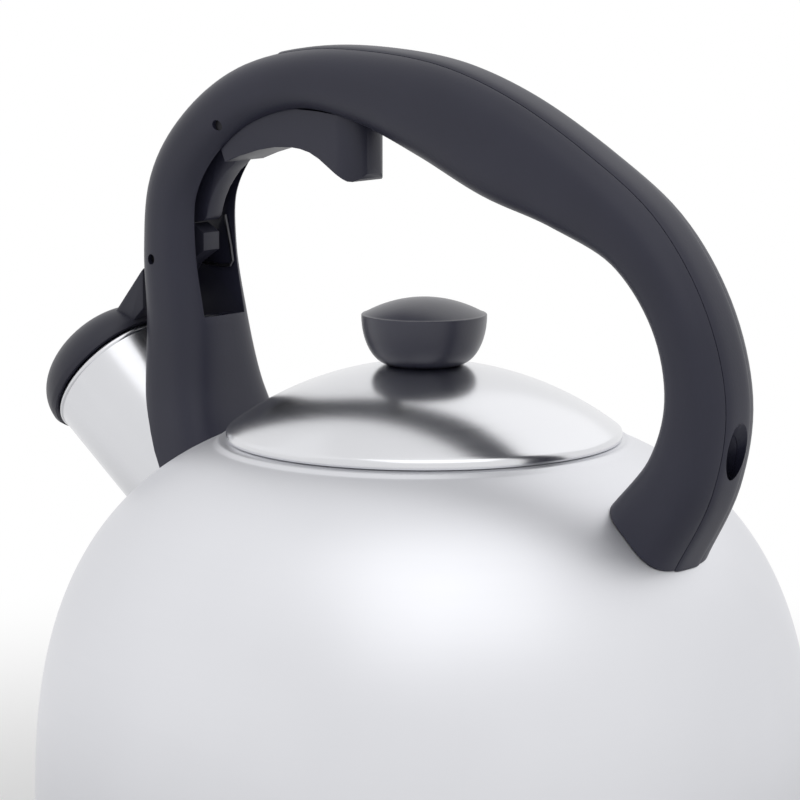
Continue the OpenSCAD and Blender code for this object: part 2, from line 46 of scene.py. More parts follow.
def addCamera():
    a, e = math.radians(viewing["azimuth"]), math.radians(viewing["elevation"])
    back = Vector((math.sin(a) * math.cos(e), -math.cos(a) * math.cos(e), math.sin(e)))
    bpy.ops.object.camera_add(location=Vector(viewing["aim"]) + back * viewing["distance"])
    camera = bpy.context.object
    camera.name = "viewCamera"
    camera.rotation_euler = back.to_track_quat("Z", "Y").to_euler()
    camera.data.lens = viewing["lens"]
    camera.data.sensor_width = 36
    camera.data.clip_end = 20
    bpy.context.scene.camera = camera


studio = {"softKey": {"at": (0.9, -0.7, 2.2), "size": 2.4, "power": 10},
          "softFill": {"at": (-1.7, -1.0, 1.4), "size": 2.6, "power": 2},
          "softBack": {"at": (0.2, 1.7, 1.9), "size": 2.4, "power": 4},
          "world": 0.6, "floor": 0.9, "fadeFrom": 0.14, "fadeTo": 0.5}


def addLights():
    for name in ("softKey", "softFill", "softBack"):
        lamp = studio[name]
        bpy.ops.object.light_add(type="AREA", location=lamp["at"])
        light = bpy.context.object
        light.name = name
        light.data.size = lamp["size"]
        light.data.energy = lamp["power"]
        toKettle = Vector((0, 0, 0.1)) - Vector(lamp["at"])
        light.rotation_euler = toKettle.to_track_quat("-Z", "Y").to_euler()


def seenDirectly(tree):
    # one for rays from the eye and for mirrored ones, nothing for the light that falls on the kettle
    path = tree.nodes.new("ShaderNodeLightPath")
    seen = path.outputs["Is Camera Ray"]
    for name in ("Is Glossy Ray", "Is Transmission Ray"):
        either = tree.nodes.new("ShaderNodeMath")
        either.operation = "MAXIMUM"
        tree.links.new(seen, either.inputs[0])
        tree.links.new(path.outputs[name], either.inputs[1])
        seen = either.outputs[0]
    return seen


def addWorld():
    world = bpy.data.worlds.new("paleStudio")
    bpy.context.scene.world = world
    world.use_nodes = True
    tree = world.node_tree
    dim = tree.nodes["Background"]
    dim.inputs["Color"].default_value = (1, 1, 1, 1)
    dim.inputs["Strength"].default_value = studio["world"]
    white = tree.nodes.new("ShaderNodeBackground")
    white.inputs["Color"].default_value = (1, 1, 1, 1)
    white.inputs["Strength"].default_value = 1.0
    mix = tree.nodes.new("ShaderNodeMixShader")
    tree.links.new(seenDirectly(tree), mix.inputs["Fac"])
    tree.links.new(dim.outputs[0], mix.inputs[1])
    tree.links.new(white.outputs[0], mix.inputs[2])
    tree.links.new(mix.outputs[0], tree.nodes["World Output"].inputs["Surface"])


def addFloor():
    # the paper keeps the shadow near the kettle and fades to plain white further out
    bpy.ops.mesh.primitive_plane_add(size=60, location=(0, 0, -0.0002))
    floor = bpy.context.object
    floor.name = "paleFloor"
    material = bpy.data.materials.new("palePaper")
    material.use_nodes = True
    tree = material.node_tree
    paper = tree.nodes["Principled BSDF"]
    paper.inputs["Base Color"].default_value = (studio["floor"],) * 3 + (1,)
    paper.inputs["Roughness"].default_value = 0.9
    paper.inputs["Specular IOR Level"].default_value = 0.1
    place = tree.nodes.new("ShaderNodeTexCoord")
    away = tree.nodes.new("ShaderNodeVectorMath")
    away.operation = "LENGTH"
    tree.links.new(place.outputs["Object"], away.inputs[0])
    fade = tree.nodes.new("ShaderNodeMapRange")
    fade.interpolation_type = "SMOOTHSTEP"
    fade.inputs["From Min"].default_value = studio["fadeFrom"]
    fade.inputs["From Max"].default_value = studio["fadeTo"]
    tree.links.new(away.outputs["Value"], fade.inputs["Value"])
    share = tree.nodes.new("ShaderNodeMath")
    share.operation = "MULTIPLY"
    tree.links.new(seenDirectly(tree), share.inputs[0])
    tree.links.new(fade.outputs["Result"], share.inputs[1])
    white = tree.nodes.new("ShaderNodeEmission")
    white.inputs["Strength"].default_value = 1.0
    mix = tree.nodes.new("ShaderNodeMixShader")
    tree.links.new(share.outputs[0], mix.inputs["Fac"])
    tree.links.new(paper.outputs[0], mix.inputs[1])
    tree.links.new(white.outputs[0], mix.inputs[2])
    tree.links.new(mix.outputs[0], tree.nodes["Material Output"].inputs["Surface"])
    floor.data.materials.append(material)


addCamera()
addLights()
addWorld()
addFloor()
bpy.context.scene.view_settings.view_transform = "Standard"
print("stage: camera, lights and floor")

# materials


def newMaterial(name):
    material = bpy.data.materials.new(name)
    material.use_nodes = True
    return material, material.node_tree, material.node_tree.nodes["Principled BSDF"]


def noiseOn(tree, scale, detail=4, stretch=(1, 1, 1), distortion=0.0):
    place = tree.nodes.new("ShaderNodeTexCoord")
    spread = tree.nodes.new("ShaderNodeMapping")
    spread.inputs["Scale"].default_value = stretch
    noise = tree.nodes.new("ShaderNodeTexNoise")
    noise.inputs["Scale"].default_value = scale
    noise.inputs["Detail"].default_value = detail
    noise.inputs["Distortion"].default_value = distortion
    tree.links.new(place.outputs["Object"], spread.inputs["Vector"])
    tree.links.new(spread.outputs["Vector"], noise.inputs["Vector"])
    return noise


def between(tree, source, low, high):
    span = tree.nodes.new("ShaderNodeMapRange")
    span.inputs["To Min"].default_value = low
    span.inputs["To Max"].default_value = high
    tree.links.new(source, span.inputs["Value"])
    return span.outputs["Result"]


def tint(tree, source, dark, light):
    ramp = tree.nodes.new("ShaderNodeValToRGB")
    ramp.color_ramp.elements[0].position = 0.3
    ramp.color_ramp.elements[0].color = (*dark, 1)
    ramp.color_ramp.elements[1].position = 0.7
    ramp.color_ramp.elements[1].color = (*light, 1)
    tree.links.new(source, ramp.inputs["Fac"])
    return ramp.outputs["Color"]


def bumpFrom(tree, shader, source, strength, depth):
    bump = tree.nodes.new("ShaderNodeBump")
    bump.inputs["Strength"].default_value = strength
    bump.inputs["Distance"].default_value = depth
    tree.links.new(source, bump.inputs["Height"])
    tree.links.new(bump.outputs["Normal"], shader.inputs["Normal"])


def steelFinish(name, dark, light, roughLow, roughHigh, grainDepth, axis=(0, 0, 1)):
    # fine turned grain: streaks that run round the axis the piece was polished about
    material, tree, steel = newMaterial(name)
    across = tuple(40 if abs(c) > 0.5 else 1.2 for c in axis)
    streaks = noiseOn(tree, 22, 6, across)
    cloud = noiseOn(tree, 9, 3)
    steel.inputs["Metallic"].default_value = 1.0
    tree.links.new(tint(tree, cloud.outputs["Fac"], dark, light), steel.inputs["Base Color"])
    blend = tree.nodes.new("ShaderNodeMath")
    blend.operation = "ADD"
    tree.links.new(between(tree, streaks.outputs["Fac"], roughLow / 2, roughHigh / 2), blend.inputs[0])
    tree.links.new(between(tree, cloud.outputs["Fac"], roughLow / 2, roughHigh / 2), blend.inputs[1])
    tree.links.new(blend.outputs[0], steel.inputs["Roughness"])
    bumpFrom(tree, steel, streaks.outputs["Fac"], 0.12, grainDepth)
    return material


def mouldedFinish(name, dark, light, roughLow, roughHigh, coat=0.0):
    # fine spark-eroded grain of a moulded thermoset, worn a little smoother in clouds
    material, tree, plastic = newMaterial(name)
    grain = noiseOn(tree, 1400, 2)
    cloud = noiseOn(tree, 26, 4)
    tree.links.new(tint(tree, cloud.outputs["Fac"], dark, light), plastic.inputs["Base Color"])
    tree.links.new(between(tree, cloud.outputs["Fac"], roughLow, roughHigh), plastic.inputs["Roughness"])
    plastic.inputs["Specular IOR Level"].default_value = 0.36
    plastic.inputs["Coat Weight"].default_value = coat
    plastic.inputs["Coat Roughness"].default_value = 0.35
    bumpFrom(tree, plastic, grain.outputs["Fac"], 0.18, 0.00012)
    return material


# dark tint, light tint, lowest and highest roughness, depth of grain in metres
steels = {
    "kettleSteel": ((0.69, 0.695, 0.725), (0.75, 0.755, 0.785), 0.4, 0.5, 0.00004),
    "lidSteel": ((0.68, 0.685, 0.71), (0.74, 0.745, 0.77), 0.17, 0.27, 0.00003),
    "spoutSteel": ((0.61, 0.615, 0.64), (0.69, 0.695, 0.72), 0.18, 0.3, 0.00003),
    "fixingSteel": ((0.5, 0.51, 0.53), (0.58, 0.59, 0.61), 0.25, 0.42, 0.00003),
    "pinSteel": ((0.025, 0.025, 0.03), (0.045, 0.045, 0.05), 0.45, 0.6, 0.00003),
    "springSteel": ((0.09, 0.09, 0.1), (0.14, 0.14, 0.15), 0.3, 0.45, 0.00002),
    "spreaderAluminium": ((0.66, 0.67, 0.68), (0.74, 0.75, 0.76), 0.35, 0.5, 0.00005),
    "insertBrass": ((0.62, 0.45, 0.18), (0.72, 0.55, 0.25), 0.25, 0.4, 0.00003),
}
# dark tint, light tint, lowest and highest roughness, weight of the clear skin
plastics = {
    "handlePlastic": ((0.015, 0.0155, 0.031), (0.021, 0.0215, 0.04), 0.4, 0.5, 0.06),
    "triggerPlastic": ((0.019, 0.0195, 0.036), (0.025, 0.0255, 0.044), 0.4, 0.5, 0.06),
    # the knob's tints are a little lighter than the handle's: painted sheen for its lit crown, added to the
    # real clear coat
    "knobPlasticAndPaintedSheen": ((0.02, 0.0205, 0.038), (0.027, 0.0275, 0.048), 0.36, 0.46, 0.5),
    "capPlastic": ((0.02, 0.0205, 0.034), (0.026, 0.0265, 0.042), 0.42, 0.52, 0.06),
}
finishes = {name: steelFinish(name, *values) for name, values in steels.items()}
finishes.update({name: mouldedFinish(name, *values) for name, values in plastics.items()})
print("stage: finishes")

# tools


def clearSelection():
    if bpy.context.mode != "OBJECT":
        bpy.ops.object.mode_set(mode="OBJECT")
    bpy.ops.object.select_all(action="DESELECT")


def finishEdit(merge=0.000002):
    bpy.ops.mesh.select_all(action="SELECT")
    bpy.ops.mesh.remove_doubles(threshold=merge)
    bpy.ops.mesh.normals_make_consistent(inside=False)
    bpy.ops.object.mode_set(mode="OBJECT")


def startVertex(name, at):
    # one corner of a plane is kept, to draw a profile from
    clearSelection()
    bpy.ops.mesh.primitive_plane_add(size=0.01, location=(0, 0, 0))
    piece = bpy.context.object
    piece.name = name
    bpy.ops.object.mode_set(mode="EDIT")
    bpy.ops.mesh.select_all(action="SELECT")
    bpy.ops.mesh.merge(type="CENTER")
    bpy.ops.transform.translate(value=at)
    return piece


def drawTo(points, start):
    last = Vector(start)
    for point in points:
        step = Vector(point) - last
        bpy.ops.mesh.extrude_region_move(TRANSFORM_OT_translate={"value": step})
        last = Vector(point)


def turned(name, profile, steps=160):
    # spins an outline of (radius, height) in millimetres round the Z axis
    points = [(r * mm, 0, z * mm) for r, z in profile]
    piece = startVertex(name, points[0])
    drawTo(points[1:], points[0])
    bpy.ops.mesh.select_all(action="SELECT")
    bpy.ops.mesh.spin(steps=steps, angle=math.tau, center=(0, 0, 0), axis=(0, 0, 1))
    finishEdit()
    return piece


def slab(name, outline, width, atY=0.0):
    # an outline of (x, z) in millimetres, given thickness along Y
    points = [(x * mm, (atY - width / 2) * mm, z * mm) for x, z in outline]
    piece = startVertex(name, points[0])
    drawTo(points[1:] + points[:1], points[0])
    bpy.ops.mesh.select_all(action="SELECT")
    bpy.ops.mesh.remove_doubles(threshold=0.000002)
    bpy.ops.mesh.edge_face_add()
    bpy.ops.mesh.select_all(action="SELECT")
    bpy.ops.mesh.extrude_region_move(TRANSFORM_OT_translate={"value": (0, width * mm, 0)})
    finishEdit()
    return piece


def loft(name, rings):
    # one ring is extruded through all the sections, then both ends are filled
    clearSelection()
    bpy.ops.mesh.primitive_circle_add(vertices=len(rings[0]), radius=0.01)
    piece = bpy.context.object
    piece.name = name
    bpy.ops.object.mode_set(mode="EDIT")
    bpy.ops.mesh.select_all(action="SELECT")
    for count, ring in enumerate(rings):
        if count:
            bpy.ops.mesh.extrude_region_move()
        mesh = bmesh.from_edit_mesh(piece.data)
        picked = sorted((v for v in mesh.verts if v.select), key=lambda v: v.index)
        for vertex, point in zip(picked, ring):
            vertex.co = Vector(point) * mm
        bmesh.update_edit_mesh(piece.data)
    bpy.ops.mesh.select_all(action="SELECT")
    bpy.ops.mesh.fill_holes(sides=0)
    finishEdit()
    return piece


def rod(name, start, end, radius, sides=48):
    # a cylinder between two points, in millimetres
    clearSelection()
    start, end = Vector(start) * mm, Vector(end) * mm
    along = end - start
    turn = along.to_track_quat("Z", "Y").to_euler()
    bpy.ops.mesh.primitive_cylinder_add(vertices=sides, radius=radius * mm, depth=along.length,
                                        location=(start + end) / 2, rotation=turn)
    piece = bpy.context.object
    piece.name = name
    bpy.ops.object.transform_apply(location=True, rotation=True, scale=True)
    return piece


def choose(piece):
    clearSelection()
    piece.select_set(True)
    bpy.context.view_layer.objects.active = piece


def combine(piece, tool, operation="DIFFERENCE"):
    choose(piece)
    work = piece.modifiers.new("combine", "BOOLEAN")
    work.operation = operation
    work.object = tool
    work.solver = "EXACT"
    bpy.ops.object.modifier_apply(modifier=work.name)
    bpy.data.objects.remove(tool, do_unlink=True)
    return piece


def softenEdges(piece, width, angle=32, segments=2):
    choose(piece)
    bevel = piece.modifiers.new("softenEdges", "BEVEL")
    bevel.width = width * mm
    bevel.segments = segments
    bevel.limit_method = "ANGLE"
    bevel.angle_limit = math.radians(angle)
    bevel.harden_normals = False
    bpy.ops.object.modifier_apply(modifier=bevel.name)


def standAtSpout(piece):
    # turns a piece made about Z so that it points out along the spout
    choose(piece)
    piece.rotation_euler = (0, math.radians(-90 + spout["tilt"]), 0)
    piece.location = (spout["mouth"][0] * mm, 0, spout["mouth"][1] * mm)
    bpy.ops.object.transform_apply(location=True, rotation=True, scale=True)
    return piece


def settle(piece, finish, body, nodes=(), smooth=32):
    choose(piece)
    bpy.ops.object.shade_smooth_by_angle(angle=math.radians(smooth))
    piece.data.materials.clear()
    piece.data.materials.append(finishes[finish])
    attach(piece, body)
    if nodes:
        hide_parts(*nodes)


# the kettle's body
kettle = {"radius": 109, "widest": 36, "seat": 142, "power": 2.7, "floor": 91, "wall": 0.8,
          "mouth": 48, "flange": 5, "floorZ": 6, "beadRadius": 57.0, "beadHeight": 0.55,
          "beadHalfWidth": 1.4}
domeHeight = kettle["seat"] - kettle["widest"] + 8


def domeZ(r, inset=0.0):
    reach = kettle["radius"] - inset
    power = kettle["power"]
    return kettle["widest"] + (domeHeight - inset) * (1 - (r / reach) ** power) ** (1 / power)


def domeCurve(inset, top, steps=64):
    reach = kettle["radius"] - inset
    last = math.acos((top / reach) ** (kettle["power"] / 2))
    curve = []
    for i in range(steps + 1):
        a = last * i / steps
        curve.append((reach * math.cos(a) ** (2 / kettle["power"]),
                      kettle["widest"] + (domeHeight - inset) * math.sin(a) ** (2 / kettle["power"])))
    return curve


def heelCurve(inset, steps=28):
    curve = []
    for i in range(steps):
        a = math.radians(90 * (1 - i / steps))
        curve.append((kettle["floor"] + (kettle["radius"] - kettle["floor"] - inset) * math.cos(a),
                      kettle["widest"] - (kettle["widest"] - kettle["floorZ"] - inset) * math.sin(a)))
    return curve


def envelope(gap):
    rim = kettle["mouth"]
    outline = [(0, kettle["floorZ"] - gap)] + heelCurve(-gap) + domeCurve(-gap, rim) + [(0, domeZ(rim) + gap)]
    return turned("bodyEnvelope", outline)


spout = {"mouth": (-118, 149.5), "tilt": 39, "radius": 20.8, "wall": 0.8, "length": 58,
         "lipOut": 0.9, "lipRound": 1.1}
spoutDir = (-math.cos(math.radians(spout["tilt"])), math.sin(math.radians(spout["tilt"])))


def alongSpout(distance):
    return (spout["mouth"][0] + spoutDir[0] * distance, 0, spout["mouth"][1] + spoutDir[1] * distance)


def makeBody():
    k = kettle
    rim = k["mouth"] + k["wall"]
    outer = []
    for r, z in domeCurve(0, rim, 150):
        # a narrow raised bead runs round the lid's seat
        near = abs(r - k["beadRadius"])
        half = k["beadHalfWidth"]
        lift = k["beadHeight"] * 0.5 * (1 + math.cos(math.pi * near / half)) if near < half else 0
        outer.append((r, z + lift))
    topZ = domeZ(rim)
    roundOver = [(rim - 0.15, topZ + 0.02), (k["mouth"] + 0.3, topZ - 0.05), (k["mouth"] + 0.05, topZ - 0.35)]
    flangeZ = topZ - k["flange"]
    flange = [(k["mouth"], topZ - 0.8), (k["mouth"], flangeZ), (rim, flangeZ), (rim, topZ - 1.4)]
    inner = domeCurve(k["wall"], k["mouth"] + 2 * k["wall"])[::-1] + heelCurve(k["wall"])[::-1]
    outside = [(0, k["floorZ"])] + heelCurve(0) + outer + roundOver
    piece = turned("kettleBody", outside + flange + inner + [(0, k["floorZ"] + k["wall"])], 192)
    bore = spout["radius"] - spout["wall"]
    combine(piece, rod("spoutHole", alongSpout(0), alongSpout(-spout["length"]), bore, 96))
    settle(piece, "kettleSteel", "kettle", ["body_shell"], 40)


def makeSpout():
    s = spout
    outer, inner, r = s["radius"], s["radius"] - s["wall"], s["lipRound"]
    centre = outer + s["lipOut"] - r
    lip = [(centre + r * math.cos(math.radians(a)), -r + r * math.sin(math.radians(a)))
           for a in range(-50, 220, 15)]
    outline = [(outer, -s["length"])] + lip + [(inner, -s["length"])]
    outline.append(outline[0])
    piece = standAtSpout(turned("spoutTube", outline, 128))
    combine(piece, envelope(0))
    settle(piece, "spoutSteel", "kettle", ["spout"], 40)


makeBody()
makeSpout()
print("stage: body and spout")

# the lid and its knob
lid = {"radius": 55, "rise": 18.7, "edge": 2.2, "wall": 0.8, "rest": 0.3, "screw": 2.6}
lidZ = domeZ(lid["radius"]) + lid["rest"]
lidTop = lidZ + lid["edge"] + lid["rise"]
lidCurve = (lid["radius"] ** 2 + lid["rise"] ** 2) / (2 * lid["rise"])


def lidSurface(r, inset=0.0):
    return lidTop - lidCurve + math.sqrt((lidCurve - inset) ** 2 - r * r)


def makeLid():
    edge, wall, steps = lid["radius"], lid["wall"], 60
    top = [lid["screw"] + (edge - 0.7 - lid["screw"]) * i / steps for i in range(steps + 1)]
    outer = [(r, lidSurface(r)) for r in top]
    corner = [(edge - 0.25, lidSurface(edge - 0.3) - 0.1), (edge, lidSurface(edge) - 0.55)]
    hem = [(edge, lidZ + 0.35), (edge - 0.12, lidZ + 0.08), (edge - 0.4, lidZ), (edge - wall, lidZ + 0.1)]
    start = edge - wall - 0.2
    below = [start - (start - lid["screw"]) * i / steps for i in range(steps + 1)]
    under = [(r, lidSurface(r, wall)) for r in below]
    outline = outer + corner + hem + under
    outline.append(outline[0])
    settle(turned("lidDome", outline, 192), "lidSteel", "lid", ["lid_dome"], 40)


knob = {"radius": 17.4, "foot": 9.6, "bowl": 13.6, "crown": 4.8, "rim": 0.5, "bore": 4.1, "boreDepth": 9.5}


def makeKnob():
    k = knob
    footZ = lidSurface(k["foot"] - 0.6)
    rimZ = footZ + k["bowl"]
    cap = (k["radius"] ** 2 + k["crown"] ** 2) / (2 * k["crown"])
    outline = [(k["bore"], lidSurface(k["bore"]) + 0.06), (k["foot"] - 0.7, footZ + 0.02)]
    for i in range(25):
        a = math.radians(90 * i / 24)
        r = k["foot"] + (k["radius"] - k["foot"]) * math.sin(a)
        outline.append((r, footZ + k["bowl"] * (1 - math.cos(a))))
    outline += [(k["radius"] - 0.04, rimZ + 0.16), (k["radius"] - 0.2, rimZ + 0.3)]
    for i in range(31):
        r = (k["radius"] - k["rim"]) * (1 - i / 30)
        outline.append((r, rimZ + k["crown"] - cap + math.sqrt(cap * cap - r * r)))
    outline += [(0, footZ + k["boreDepth"] + 1), (k["bore"], footZ + k["boreDepth"] + 1), outline[0]]
    settle(turned("lidKnob", outline, 128), "knobPlasticAndPaintedSheen", "lid", ["knob"], 34)


makeLid()
makeKnob()
print("stage: lid and knob")

# the handle
handle = {"reach": 96, "rise": 98.5, "sides": 56, "ringsPerStation": 8,
          "slotWidth": 17, "slotRoof": 3, "slotFrom": 3.0, "slotTo": 9.2,
          "stripWidth": 11, "stripThick": 2.4, "stripProud": 0.4, "stripFrom": 7.6, "stripFit": 0.15,
          "seatGap": 0.25, "edge": 0.5}
# x and height in hundredths of the reach and the rise, half depth, half width, squareness
handleStations = [
    (-79, -26, 13, 21.5, 4.6), (-83, -8, 13, 19.8, 4), (-87, 8, 12.5, 17.2, 3.3),
    (-89.5, 28, 12, 14.5, 2.8), (-92, 48, 11.5, 13.5, 2.6), (-90.5, 67, 11, 13, 2.5),
    (-80, 82.5, 10, 13, 2.5), (-62.5, 94.5, 9.3, 13, 2.5), (-39.5, 100, 9, 13, 2.5),
    (-15.5, 98.5, 11, 13.2, 2.5), (8.5, 93, 13.8, 13.6, 2.5), (31.5, 84.5, 14.8, 13.6, 2.5),
    (55, 75.3, 12.4, 13.2, 2.5), (78.6, 62.6, 9.8, 12.8, 2.5), (94, 43.5, 9, 12.5, 2.5),
    (100, 21.5, 9.8, 12.5, 2.5), (95.5, 1, 10.8, 13.4, 2.7), (83, -17, 12.6, 15.4, 3),
    (76, -27, 13.6, 16.8, 3.2)]
lastStation = len(handleStations) - 1
stripTo = lastStation - 0.3


def stationAt(i):
    x, z, deep, wide, square = handleStations[min(max(i, 0), lastStation)]
    return (x / 100 * handle["reach"], kettle["seat"] + z / 100 * handle["rise"], deep, wide, square)


def pathAt(u):
    i = min(int(math.floor(u)), lastStation - 1)
    t = u - i
    four = [stationAt(i + k) for k in (-1, 0, 1, 2)]
    return [0.5 * (2 * b + (c - a) * t + (2 * a - 5 * b + 4 * c - d) * t * t
                   + (3 * b - a - 3 * c + d) * t ** 3) for a, b, c, d in zip(*four)]


def normalAt(u):
    ahead, behind = pathAt(min(u + 0.02, lastStation)), pathAt(max(u - 0.02, 0))
    dx, dz = ahead[0] - behind[0], ahead[1] - behind[1]
    length = math.hypot(dx, dz)
    return -dz / length, dx / length


def sideAt(u, share, extra=0.0):
    p, n = pathAt(u), normalAt(u)
    out = p[2] * share + extra
    return (p[0] + n[0] * out, p[1] + n[1] * out)


def signedPower(value, power):
    return math.copysign(abs(value) ** power, value)


def sectionAt(u, sides):
    p, n = pathAt(u), normalAt(u)
    ring = []
    for k in range(sides):
        a = math.tau * (k + 0.5) / sides
        out = p[2] * signedPower(math.cos(a), 2 / p[4])
        ring.append((p[0] + n[0] * out, p[3] * signedPower(math.sin(a), 2 / p[4]), p[1] + n[1] * out))
    return ring


def roofAt(u):
    share = min(max((u - handle["stripFrom"] + 1.1) / 0.8, 0), 1)
    return handle["slotRoof"] + handle["stripThick"] * share


def spread(low, high, count):
    return [low + (high - low) * i / count for i in range(count + 1)]


pivots = {"trigger": (-66, 227), "cap": (-91.5, 187), "pinRadius": 1.5}
screws = {"frontX": -79, "frontSeat": 166, "bossTop": 156, "bossRadius": 5, "shank": 2.6, "head": 4.25,
          "rearRadius": 82, "rearSeat": 17, "rearBoss": 9}
rearFoot = (screws["rearRadius"], domeZ(screws["rearRadius"]))
rearSlope = math.atan((domeZ(screws["rearRadius"] - 1) - domeZ(screws["rearRadius"] + 1)) / 2)


def rearAxis(distance):
    return (rearFoot[0] + math.sin(rearSlope) * distance, 0, rearFoot[1] + math.cos(rearSlope) * distance)


def makeGrip():
    h = handle
    steps = spread(0, lastStation, lastStation * h["ringsPerStation"])
    grip = loft("handleGrip", [sectionAt(u, h["sides"]) for u in steps])
    combine(grip, envelope(h["seatGap"]))
    combine(grip, rod("spoutRoom", alongSpout(0), alongSpout(-spout["length"]), spout["radius"] + 0.35, 96))
    steps = spread(h["slotFrom"], h["slotTo"], 60)
    slot = [sideAt(u, 1, -roofAt(u)) for u in steps] + [sideAt(u, -1, -8) for u in steps[::-1]]
    combine(grip, slab("slotRoom", slot, h["slotWidth"]))
    steps = spread(h["stripFrom"] - 0.01, stripTo + 0.01, 110)
    depth = h["stripThick"] + h["stripFit"]
    groove = [sideAt(u, 1, 3) for u in steps] + [sideAt(u, 1, -depth) for u in steps[::-1]]
    combine(grip, slab("stripGroove", groove, h["stripWidth"] + 2 * h["stripFit"]))
    x, z = pivots["cap"]
    window = [(x - 30, z - 17), (x, z - 17), (x, z + 10), (x - 30, z + 10)]
    combine(grip, slab("capArmWindow", window, 14.8))
    softenEdges(grip, h["edge"], 40)
    for name in ("trigger", "cap"):
        x, z = pivots[name]
        combine(grip, rod("pinHole", (x, -40, z), (x, 40, z), pivots["pinRadius"] + 0.02, 32))
    q = screws
    x, roomTop, roomRadius = q["frontX"], q["bossTop"] + h["seatGap"], q["bossRadius"] + h["seatGap"]
    combine(grip, rod("frontBossRoom", (x, 0, 110), (x, 0, roomTop), roomRadius))
    combine(grip, rod("frontShankHole", (x, 0, 142), (x, 0, 182), q["shank"]))
    combine(grip, rod("frontHeadRoom", (x, 0, q["frontSeat"]), (x, 0, q["frontSeat"] + 12), q["head"]))
    combine(grip, rod("rearBossRoom", rearAxis(-5), rearAxis(q["rearBoss"] + h["seatGap"]), roomRadius))
    combine(grip, rod("rearShankHole", rearAxis(0), rearAxis(q["rearSeat"] + 1), q["shank"]))
    combine(grip, rod("rearHeadRoom", rearAxis(q["rearSeat"]), rearAxis(q["rearSeat"] + 40), q["head"]))
    settle(grip, "handlePlastic", "kettle", ["handle_grip"], 30)


def makeStrip():
    # the strip let into the handle's back, with a crowned outer face
    h, rings = handle, []
    half = h["stripWidth"] / 2
    for u in spread(h["stripFrom"], stripTo, 120):
        p, n = pathAt(u), normalAt(u)
        ring = []
        crown = [half * math.sin(math.radians(a)) for a in range(-90, 91, 15)]
        for y in crown:
            deep = p[2] * (1 - (abs(y) / p[3]) ** p[4]) ** (1 / p[4])
            soften = 0.35 * (abs(y) / half) ** 8
            out = deep + h["stripProud"] - soften
            ring.append((p[0] + n[0] * out, y, p[1] + n[1] * out))
        out = p[2] - h["stripThick"]
        ring += [(p[0] + n[0] * out, half, p[1] + n[1] * out), (p[0] + n[0] * out, -half, p[1] + n[1] * out)]
        rings.append(ring)
    strip = loft("handleStrip", rings)
    combine(strip, envelope(h["seatGap"]))
    q = screws
    combine(strip, rod("rearHeadRoom", rearAxis(q["rearSeat"]), rearAxis(q["rearSeat"] + 40), q["head"]))
    settle(strip, "handlePlastic", "kettle", ["handle_strip"], 30)


makeGrip()
makeStrip()
print("stage: handle")

# the trigger
trigger = {"padEnd": 48.5, "width": 16.2, "toe": (-84.5, 197.5), "lean": 20, "toeRound": 9, "linkWidth": 6.6,
           "hub": 5.5, "edge": 0.9}


toeNormal = (-math.sin(math.radians(trigger["lean"])), math.cos(math.radians(trigger["lean"])))


def makeTrigger():
    t = trigger
    px, pz = pivots["trigger"]
    end = t["padEnd"]
    lever = [(-4, 3.6), (-1, 5.4), (8, 5.8), (20, 5.8), (34, 5.4), (42, 4.6), (end, 3.2), (end, -9.6),
             (end - 0.5, -11.6), (end - 1.6, -13.0), (end - 3.2, -13.8), (end - 4.4, -13.7),
             (end - 5.6, -13.1),
             (end - 8, -11.7), (end - 11, -9.8), (end - 14, -7.9), (end - 17.5, -6.3), (end - 21, -5.5),
             (24, -5.2), (18, -5.5), (12, -6.6), (5, -8.6), (-1, -10.8), (-3, -6)]
    piece = slab("fingerTrigger", [(px + x, pz + z) for x, z in lever], t["width"])
    half = t["width"] / 2
    centreX = px + end - half
    farX = centreX + 20
    beyond = slab("padRound", [(centreX, pz - 40), (farX, pz - 40), (farX, pz + 40), (centreX, pz + 40)], 40)
    combine(beyond, rod("padNose", (centreX, 0, pz - 50), (centreX, 0, pz + 50), half, 64))
    combine(piece, beyond)
    softenEdges(piece, t["edge"], 60, 3)
    toe, up = t["toe"], toeNormal
    centre = (toe[0] + t["toeRound"] * up[0], toe[1] + t["toeRound"] * up[1])
    inner = [(3, -7), (-2.5, -12.2), (-5, -14), (-7, -16.2), (-9.3, -19.2), (-10.9, -22.1), (-12, -25),
             (-12.7, -27.6)]
    arm = [(px + x, pz + z) for x, z in inner] + [(toe[0] + 4.6, toe[1] + 0.7)]
    for i in range(13):
        a = math.radians(270 + t["lean"] - 54 * i / 12)
        arm.append((centre[0] + t["toeRound"] * math.cos(a), centre[1] + t["toeRound"] * math.sin(a)))
    outer = [(-25.5, -25), (-24.4, -21), (-22.6, -17), (-20.5, -13.5), (-18, -10), (-12, -3.5),
             (-6, 2), (0, 5)]
    arm += [(px + x, pz + z) for x, z in outer]
    reach = slab("triggerArm", arm, t["linkWidth"])
    softenEdges(reach, 0.5, 60)
    combine(piece, reach, "UNION")
    combine(piece, rod("triggerHub", (px, 0.07 - half, pz), (px, half - 0.07, pz), t["hub"], 64), "UNION")
    combine(piece, rod("triggerBore", (px, -20, pz), (px, 20, pz), pivots["pinRadius"] + 0.05, 32))
    settle(piece, "triggerPlastic", "trigger", ["trigger"], 34)


makeTrigger()
print("stage: trigger")

# the whistle cap
cap = {"radius": 23, "depth": 15, "shell": 2, "lift": 0.25, "round": 2.3, "hub": 5, "armWidth": 14,
       "armStart": -101,
       "outlet": 3.5, "edge": 0.7}


def capCurve(inset, innermost, steps=28):
    # the crowned side of the cap, from its rim in to a given radius
    radius, depth, power = cap["radius"] - inset, cap["depth"] - inset, cap["round"]
    last = math.acos((innermost / radius) ** (power / 2))
    return [(radius * math.cos(last * i / steps) ** (2 / power),
             cap["lift"] + depth * math.sin(last * i / steps) ** (2 / power)) for i in range(steps + 1)]


